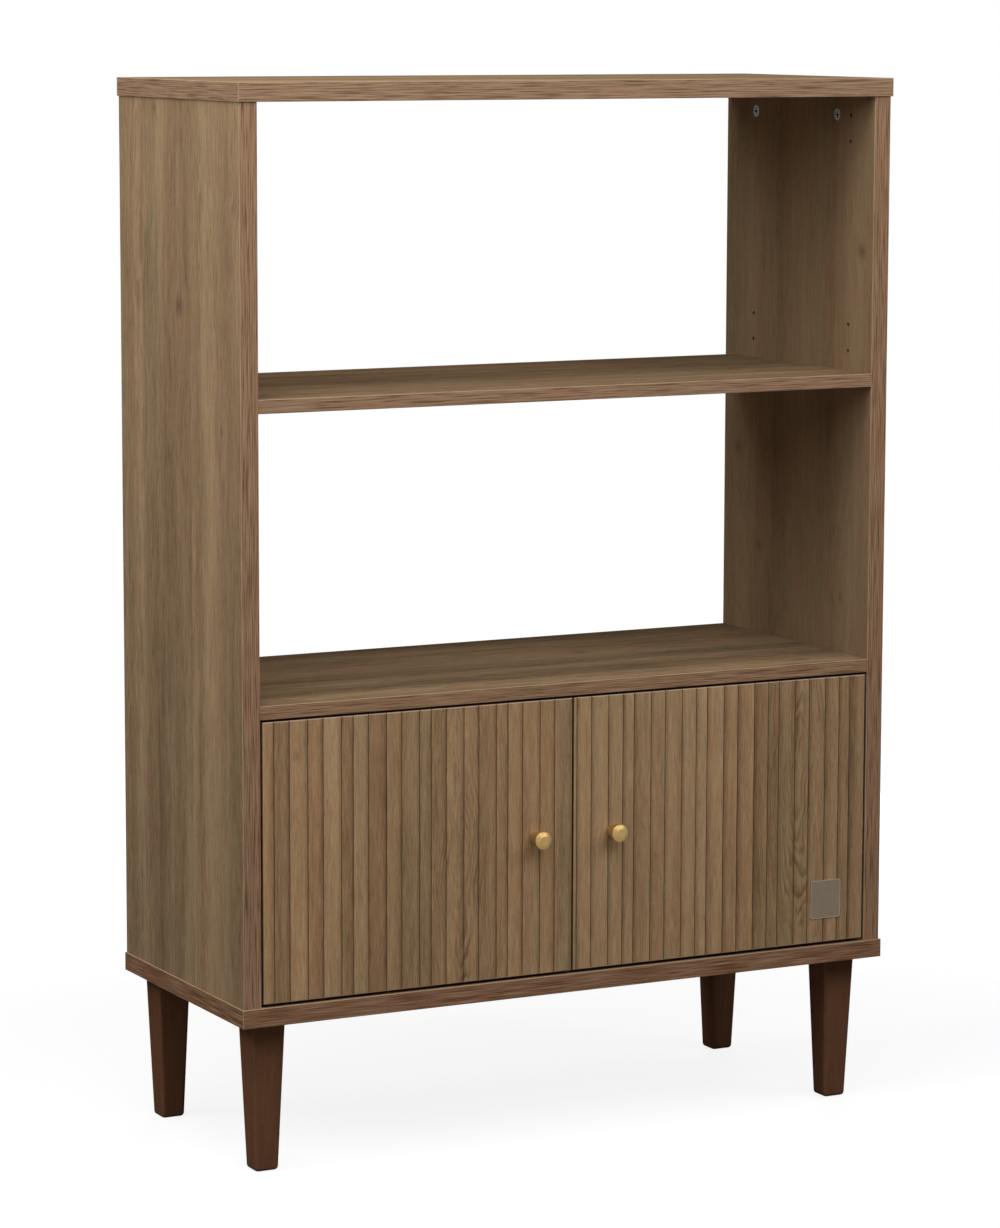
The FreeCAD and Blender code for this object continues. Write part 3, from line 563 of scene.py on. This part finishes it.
def find_slat(from_hinge, repeat_start):
    """Numbers the slats between the flutes, and measures how far on the next flute is.

    repeat_start is where a repeat begins.
    """
    run = (from_hinge - repeat_start) / SLAT_REPEAT
    whole = run.math("FLOOR")
    part = (run - whole) * SLAT_REPEAT
    number = whole * SLATS_IN_REPEAT
    next_flute = SLAT_ENDS[0] - part
    for end, following in zip(SLAT_ENDS, SLAT_ENDS[1:] + (SLAT_REPEAT,)):
        passed = part.above(end)
        number = number + passed
        next_flute = next_flute + passed * (following - end)
    return number, next_flute


def door_rings(shader, v, z, seed, heart):
    """Growth rings whose arches have their tips at the heart, given in x and z."""
    heart_x, heart_z = heart
    wander_x = shader.noise((z * DOOR_HEART_RUNS, seed, 0.0)).swing(DOOR_HEART_WANDER)
    sinking = (z - heart_z) * DOOR_HEART_SLOPE
    return growth_rings(shader, z + seed, v - heart_x + wander_x, sinking, seed) * DOOR_RINGS


def door_arris_highlight(shader, place, depth, box, seed):
    """How strong the painted highlight on the door's arris is, 0 off it."""
    low, high = box
    x = place[X]
    z = place[Z]
    on_side = x.inside(low[X], high[X]).below(DOOR_ARRIS) * SIDE_HIGHLIGHT
    on_end = z.inside(low[Z], high[Z]).below(DOOR_ARRIS) * END_HIGHLIGHT
    arris = on_side.most(on_end) * depth.below(DOOR_ARRIS)
    wear_and_highlight = shader.noise((x * DOOR_HIGHLIGHT_BLOBS, z * DOOR_HIGHLIGHT_BLOBS, seed + DOOR_HIGHLIGHT_LAYER))
    return arris * (wear_and_highlight + DOOR_HIGHLIGHT_LEAST)


def door_face(node, hinges_left, repeat_start, seed, tone, heart, knots):
    """Fluted door: the slats differ in tone, the flutes hold a painted shadow, and the arris gets a
    painted highlight.

    tone makes the whole door lighter or darker.
    """
    material, shader, surface = new_material("print_" + node, specular=LAMINATE_SPECULAR)
    low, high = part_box(node)
    place = shader.place()
    x, y, z = place
    depth = y - low[Y]
    back_face = depth.above((high[Y] - low[Y]) / 2)
    front_face = 1.0 - back_face
    from_hinge = x - low[X] if hinges_left else high[X] - x
    v, eyes = bend_round_knots(z, x, back_face, knots)
    slat, next_flute = find_slat(from_hinge, repeat_start)
    slat = slat * front_face
    rings = door_rings(shader, v, z, seed, heart)
    slat_tone = shader.random(slat + seed).swing(SLAT_TONE) + tone
    colour, roughness, normal = wood(shader, z + seed, v + slat * SLAT_STEP, seed, rings,
                                     slat_tone, DOOR_TONES, DOOR_CONTRAST)
    colour = shader.mix(eyes * DOOR_KNOT_SHARE, colour, KNOT_DARK)
    shade = next_flute.step(SLAT_SHADE_REACH, 0.0) * front_face
    colour = shader.shade(colour, 1.0 - shade * SLAT_SHADE)
    # painted shade in the flutes, deeper with their depth
    flute_shade = depth.step(*FLUTE_DEPTHS) * front_face
    colour = shader.mix(flute_shade * FLUTE_SHADE_SHARE, colour, FLUTE_PAINTED_SHADE)
    # painted highlight along the arris round the door's face
    wear_and_highlight = door_arris_highlight(shader, place, depth, (low, high), seed)
    shader.coat(surface, shader.mix(wear_and_highlight, colour, DOOR_ARRIS_HIGHLIGHT), roughness, normal)
    return material


# ---------------------------------------------------------------- legs

LEG_RED = (0.174, 0.080, 0.042)
LEG_BROWN = (0.150, 0.071, 0.039)
LEG_STREAK = Grain(0.14, 0.009, 0.0, 3.0, 0.6)
LEG_STREAK_EDGE = (0.3, 0.7)
LEG_PORE = Grain(0.020, 0.0010, 2.0, 1.0)
LEG_SKEW = 0.8                  # how the grain's streaks carry on round a corner
LEG_CORNER = (0.97, 0.80)       # cosines between which a face turns into a corner
LEG_LIGHT_BY_STREAK = 0.3
LEG_LIGHT_BY_PORE = -0.15
LEG_CORNER_HIGHLIGHT = 0.12
LEG_ROUGHNESS = 0.42
LEG_ROUGH_BY_STREAK = 0.15
LEG_SPECULAR = 0.0


def stained_leg(name, seed):
    """Solid wood under a dark matt stain, with a painted highlight along the rounded corners."""
    material, shader, surface = new_material(name, specular=LEG_SPECULAR)
    x, y, z = shader.place()
    around = x + y * LEG_SKEW
    streak = shader.grain(z, around, seed, LEG_STREAK)
    pores = shader.grain(z, around, seed, LEG_PORE).step(*PORE_EDGE)
    nx, ny, nz = (abs(part) for part in shader.facing())
    # painted highlight: the corners are made paler where rounded edges would catch light
    corner = nx.most(ny).most(nz).step(*LEG_CORNER)
    light = streak.swing(LEG_LIGHT_BY_STREAK) + pores * LEG_LIGHT_BY_PORE
    light = light + corner * LEG_CORNER_HIGHLIGHT
    colour = shader.mix(streak.step(*LEG_STREAK_EDGE), LEG_BROWN, LEG_RED)
    shader.coat(surface, shader.shade(colour, 1.0 + light),
                LEG_ROUGHNESS + streak.swing(LEG_ROUGH_BY_STREAK),
                shader.bump(1.0 - pores, PRINT_DEPTH))
    return material


# ---------------------------------------------------------------- metal and plastic

FINE_DEPTH = 0.00003            # of a moulded or turned surface

BRUSHED_DEPTH = 0.00002
PLATE = (0.150, 0.119, 0.086)
PLATE_RIM_HIGHLIGHT = (0.420, 0.360, 0.290)
PLATE_RIM = 0.0011              # width of its painted highlight rim
PLATE_RIM_SHARE = 0.6
PLATE_MARKS = (3000.0, 900.0, 60.0)             # to a metre along x, y and z, as are all below
PLATE_ROUGHNESS = 0.42
ZINC = (0.090, 0.088, 0.082)
ZINC_MARKS = (900.0, 900.0, 900.0)
ZINC_DEPTH = 0.00004
ZINC_ROUGHNESS = 0.45
NICKEL = (0.58, 0.57, 0.55)
NICKEL_MARKS = (1500.0, 1500.0, 300.0)
NICKEL_ROUGHNESS = 0.30
METAL_CLOUDS = (150.0, 150.0, 150.0)
METAL_DARKEST = 0.80
LIGHT_BY_MARKS = 0.2
LIGHT_BY_CLOUDS = 0.2
ROUGH_BY_MARKS = 0.2
ROUGH_BY_CLOUDS = 0.1


def brushed_metal(name, colour, roughness, counts, depth=BRUSHED_DEPTH, rim_of=None):
    """Metal with fine marks; counts is how many of them there are to a metre along x, y and z.

    rim_of names a flat plate that faces the front and whose edges get a painted highlight.
    """
    material, shader, surface = new_material(name, metallic=1.0)
    place = shader.place()
    marks = shader.specks(place, counts)
    clouds = shader.specks(place, METAL_CLOUDS)
    colour = shader.shade(colour, METAL_DARKEST + marks * LIGHT_BY_MARKS + clouds * LIGHT_BY_CLOUDS)
    if rim_of:
        low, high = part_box(rim_of)
        from_rim = place[X].inside(low[X], high[X]).least(place[Z].inside(low[Z], high[Z]))
        # painted highlight along the plate's edges
        rim_highlight = from_rim.step(PLATE_RIM, 0.0)
        colour = shader.mix(rim_highlight * PLATE_RIM_SHARE, colour, PLATE_RIM_HIGHLIGHT)
    roughness = roughness + marks.swing(ROUGH_BY_MARKS) + clouds.swing(ROUGH_BY_CLOUDS)
    shader.coat(surface, colour, roughness, shader.bump(marks, depth))
    return material


# painted shade: the brass is darker than real brass, standing in for the dim surroundings it
# reflects
BRASS_WITH_PAINTED_SHADE = (0.430, 0.280, 0.098)
BRASS_METALLIC = 0.6            # under a satin lacquer
BRASS_RINGS = 2600.0            # to a metre
BRASS_RING_DEPTH = 0.000006
BRASS_CLOUDS = (220.0, 220.0, 220.0)
BRASS_DARKEST = 0.88
BRASS_LIGHT_BY_CLOUDS = 0.24
BRASS_ROUGHNESS = 0.40
BRASS_ROUGH_BY_RINGS = 0.10
BRASS_ROUGH_BY_CLOUDS = 0.10


def turned_brass(name, node):
    """Satin brass with the fine rings that turning leaves round the knob's axis."""
    material, shader, surface = new_material(name, metallic=BRASS_METALLIC)
    low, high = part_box(node)
    middle = (low + high) / 2
    place = shader.place()
    dx = place[X] - middle[X]
    dz = place[Z] - middle[Z]
    radius = (dx * dx + dz * dz).math("SQRT")
    rings = shader.noise((radius * BRASS_RINGS, place[Y] * BRASS_RINGS, 0.0), 1.0)
    clouds = shader.specks(place, BRASS_CLOUDS)
    colour = shader.shade(BRASS_WITH_PAINTED_SHADE, BRASS_DARKEST + clouds * BRASS_LIGHT_BY_CLOUDS)
    roughness = BRASS_ROUGHNESS + rings.swing(BRASS_ROUGH_BY_RINGS)
    roughness = roughness + clouds.swing(BRASS_ROUGH_BY_CLOUDS)
    shader.coat(surface, colour, roughness, shader.bump(rings, BRASS_RING_DEPTH))
    return material


NYLON = (0.045, 0.034, 0.028)
NYLON_ROUGHNESS = 0.55
RUBBER = (0.62, 0.62, 0.58)
RUBBER_ROUGHNESS = 0.35
MOULDED_SPECULAR = 0.3
MOULDED_SPECKLES = (900.0, 900.0, 900.0)
MOULDED_DARKEST = 0.85
MOULDED_LIGHT = 0.3
MOULDED_ROUGH = 0.15


def moulded(name, colour, roughness):
    """Plastic or rubber with a fine moulded grain."""
    material, shader, surface = new_material(name, specular=MOULDED_SPECULAR)
    speckle = shader.specks(shader.place(), MOULDED_SPECKLES)
    shader.coat(surface, shader.shade(colour, MOULDED_DARKEST + speckle * MOULDED_LIGHT),
                roughness + speckle.swing(MOULDED_ROUGH), shader.bump(speckle, FINE_DEPTH))
    return material


BEECH_PALE = (0.60, 0.44, 0.27)
BEECH_DARK = (0.46, 0.31, 0.17)
BEECH_GRAIN = (300.0, 1400.0, 300.0)
BEECH_SPECULAR = 0.2
BEECH_ROUGHNESS = 0.55
BEECH_ROUGH_BY_GRAIN = 0.2


def turned_beech(name):
    material, shader, surface = new_material(name, specular=BEECH_SPECULAR)
    grain = shader.specks(shader.place(), BEECH_GRAIN)
    shader.coat(surface, shader.mix(grain, BEECH_PALE, BEECH_DARK),
                BEECH_ROUGHNESS + grain.swing(BEECH_ROUGH_BY_GRAIN),
                shader.bump(grain, FINE_DEPTH))
    return material


# ---------------------------------------------------------------- dressing the nodes

LEFT_KNOTS = (Knot(0.9965, 0.012, 0.0095), Knot(1.2215, 0.081, 0.0055),
              Knot(1.1135, -0.143, 0.0050), Knot(0.8625, -0.106, 0.0050))
RIGHT_KNOTS = (Knot(1.0455, -0.136, 0.0080), Knot(0.6625, 0.099, 0.0055),
               Knot(0.6195, -0.096, 0.0050), Knot(0.7835, 0.154, 0.0055))
CABINET_SHELF_KNOTS = (Knot(0.333, -0.129, 0.0050, True), Knot(0.118, 0.043, 0.0080, True),
                       Knot(-0.206, -0.126, 0.0050, True))

BOARDS = {
    "top_panel": dict(name="print_top", along=X, across=Y, seed=1.0),
    "bottom_panel": dict(name="print_bottom", along=X, across=Y, seed=2.0),
    "left_side_panel": dict(name="print_left", along=Z, across=Y, seed=3.0, knots=LEFT_KNOTS),
    "right_side_panel": dict(name="print_right", along=Z, across=Y, seed=4.0, knots=RIGHT_KNOTS,
                             contrast=0.55),
    # The shelves' negative tone is painted shade: their print is darkened for the shade they sit in
    # inside the carcass.
    "middle_shelf": dict(name="print_middle", along=X, across=Y, seed=5.0, tone=-0.08),
    "cabinet_shelf": dict(name="print_cabinet", along=X, across=Y, seed=6.0, tone=-0.13,
                          knots=CABINET_SHELF_KNOTS),
    "cabinet_back_panel": dict(name="print_back", along=Z, across=X, seed=7.0, contrast=0.6),
}

# The edge bands' print differs a little from board to board, and these tints also hold painted
# light and shade: lighter on the top panel, darker and redder on the bottom panel.
BAND_TINTS_AND_SHADE = {
    "top_panel": (1.21, 1.29, 1.31),
    "bottom_panel": (1.04, 0.92, 0.86),
    "middle_shelf": (1.21, 1.27, 1.26),
    "cabinet_shelf": (1.16, 1.18, 1.10),
    "left_side": (1.16, 1.18, 1.14),
    "right_side": (1.14, 1.12, 1.06),
}
FIRST_BAND_SEED = 20.0

# repeat_start is measured from the door's hinge edge.
DOORS = {
    "left_door": dict(hinges_left=True, repeat_start=-0.0011, seed=11.0, tone=0.01,
                      heart=(-0.149, 0.3715), knots=(Knot(0.4905, -0.360, 0.0045),)),
    "right_door": dict(hinges_left=False, repeat_start=0.0209, seed=12.0, tone=0.03,
                       heart=(0.311, 0.4315),
                       knots=(Knot(0.3415, 0.277, 0.0045), Knot(0.3335, 0.110, 0.0040))),
}

LEGS = ("front_left", "front_right", "back_left", "back_right")
FIRST_LEG_SEED = 40.0
CAM_FITTINGS = ("deck_cam_locks", "deck_cam_bolts", "shelf_cam_locks", "shelf_cam_bolts")
CARCASS_SCREWS = ("hinge_plate_screws", "hinge_arm_screws", "door_stop_screws",
                  "leg_hanger_bolts", "leg_insert_nuts")
DOOR_HARDWARE = ("hinge_arms", "hinge_plates", "hinge_cups", "hinge_pins", "hinge_cup_screws",
                 "knob_screw")


def dress_boards():
    for node, settings in BOARDS.items():
        dress(node, laminate(node, **settings))
    for seed, (name, tint_and_shade) in enumerate(BAND_TINTS_AND_SHADE.items()):
        dress(name + "_edge_bands", edge_band(name, FIRST_BAND_SEED + seed, tint_and_shade))


def dress_doors():
    for node, settings in DOORS.items():
        dress(node, door_face(node, **settings))
    dress("nameplate", brushed_metal("plate", PLATE, PLATE_ROUGHNESS, PLATE_MARKS,
                                     rim_of="nameplate"))
    for side in ("left_", "right_"):
        dress(side + "knob", turned_brass(side + "brass", side + "knob"))


def dress_rest():
    zinc = brushed_metal("die_cast_zinc", ZINC, ZINC_ROUGHNESS, ZINC_MARKS, depth=ZINC_DEPTH)
    nickel = brushed_metal("nickel", NICKEL, NICKEL_ROUGHNESS, NICKEL_MARKS)
    nylon = moulded("nylon", NYLON, NYLON_ROUGHNESS)
    rubber = moulded("clear_rubber", RUBBER, RUBBER_ROUGHNESS)
    for seed, name in enumerate(LEGS):
        dress(name + "_leg", stained_leg("stain_" + name, FIRST_LEG_SEED + seed))
    for name in CAM_FITTINGS:
        dress(name, zinc)
    for name in CARCASS_SCREWS:
        dress(name, nickel)
    for side in ("left_", "right_"):
        dress(side + "door_bumper", rubber)
        for part in DOOR_HARDWARE:
            dress(side + part, nickel)
    dress("door_stop", nylon)
    dress("leg_glides", nylon)
    dress("dowels", turned_beech("beech"))


# ---------------------------------------------------------------- stage

WHITE = (1.0, 1.0, 1.0)
FLOOR_REACH = 30.0
FLOOR_COLOUR = (0.20, 0.20, 0.20)
FLOOR_GLOW_NEAR = 0.86          # what the camera sees of the floor's own white under the object
SHADOW_EDGE = (0.7, 1.8)        # distances from the origin over which that rises to full white
AMBIENT = 0.04

LAMP_AIM = (0.0, 0.0, 0.9)
LAMP_SIZE = 1.2
WARM = (1.0, 0.84, 0.72)
# Name, place, watts, colour.
LAMPS = (
    ("left_near", (-1.8, -0.8, 1.9), 9.0, WHITE),
    ("front_left", (-0.4, -2.0, 2.2), 10.0, WHITE),
    ("front_right", (0.4, -2.0, 2.2), 12.0, WHITE),
    ("right_high", (2.4, -2.0, 3.0), 29.0, WHITE),
    ("top_left", (-1.0, -0.6, 2.7), 25.0, WHITE),
    ("low_left", (-2.4, -2.6, 0.6), 6.0, WARM),
    ("top_front", (-0.6, -1.4, 3.2), 3.0, WHITE),
    ("left_back", (-2.6, 0.6, 2.2), 24.0, WHITE),
    ("right_back", (1.3, 1.9, 0.5), 28.0, WHITE),
)


def seen_directly(shader):
    """1 for the camera and for what metal and glass show, 0 for light that falls on things."""
    path = shader.new("ShaderNodeLightPath")
    seen = shader.math("MAXIMUM", path.outputs["Is Camera Ray"], path.outputs["Is Glossy Ray"])
    return seen.most(path.outputs["Is Transmission Ray"])


def floor_material():
    """Looks white but keeps the object's shadow, and is clear from below."""
    material = bpy.data.materials.new("floor")
    material.use_nodes = True
    shader = Shader(material.node_tree)
    x, y = shader.place()[:2]
    far = (x * x + y * y).math("SQRT").step(*SHADOW_EDGE)
    strength = far * (1.0 - FLOOR_GLOW_NEAR) + FLOOR_GLOW_NEAR
    diffuse = shader.new("ShaderNodeBsdfDiffuse")
    shader.feed(diffuse.inputs["Color"], FLOOR_COLOUR)
    glow = shader.new("ShaderNodeEmission")
    shader.feed(glow.inputs["Color"], WHITE)
    shader.feed(glow.inputs["Strength"], seen_directly(shader) * strength)
    both = shader.new("ShaderNodeAddShader")
    shader.fill(both, (diffuse.outputs[0], glow.outputs[0]))
    clear = shader.new("ShaderNodeBsdfTransparent")
    choice = shader.new("ShaderNodeMixShader")
    below = shader.new("ShaderNodeNewGeometry").outputs["Backfacing"]
    shader.fill(choice, (below, both.outputs[0], clear.outputs[0]))
    output = shader.new("ShaderNodeOutputMaterial")
    shader.feed(output.inputs["Surface"], choice.outputs[0])
    return material


def make_floor():
    mesh = bpy.data.meshes.new("floor")
    r = FLOOR_REACH
    mesh.from_pydata([(-r, -r, 0), (r, -r, 0), (r, r, 0), (-r, r, 0)], [], [(0, 1, 2, 3)])
    floor = bpy.data.objects.new("floor", mesh)
    bpy.context.scene.collection.objects.link(floor)
    mesh.materials.append(floor_material())


def make_world():
    world = bpy.data.worlds.new("studio")
    bpy.context.scene.world = world
    world.use_nodes = True
    shader = Shader(world.node_tree)
    background = shader.new("ShaderNodeBackground")
    shader.feed(background.inputs["Color"], WHITE)
    shader.feed(background.inputs["Strength"], seen_directly(shader) * (1.0 - AMBIENT) + AMBIENT)
    output = shader.new("ShaderNodeOutputWorld")
    shader.feed(output.inputs["Surface"], background.outputs[0])


def make_lamps():
    for name, place, watts, colour in LAMPS:
        data = bpy.data.lights.new(name, "AREA")
        data.color = colour
        data.shape = "SQUARE"
        data.size = LAMP_SIZE
        data.energy = watts
        lamp = bpy.data.objects.new(name, data)
        lamp.location = place
        aim = Vector(LAMP_AIM) - Vector(place)
        lamp.rotation_euler = aim.to_track_quat("-Z", "Y").to_euler()
        bpy.context.scene.collection.objects.link(lamp)


make_camera()
dress_boards()
dress_doors()
dress_rest()
make_floor()
make_world()
make_lamps()
bpy.context.scene.view_settings.view_transform = "Standard"
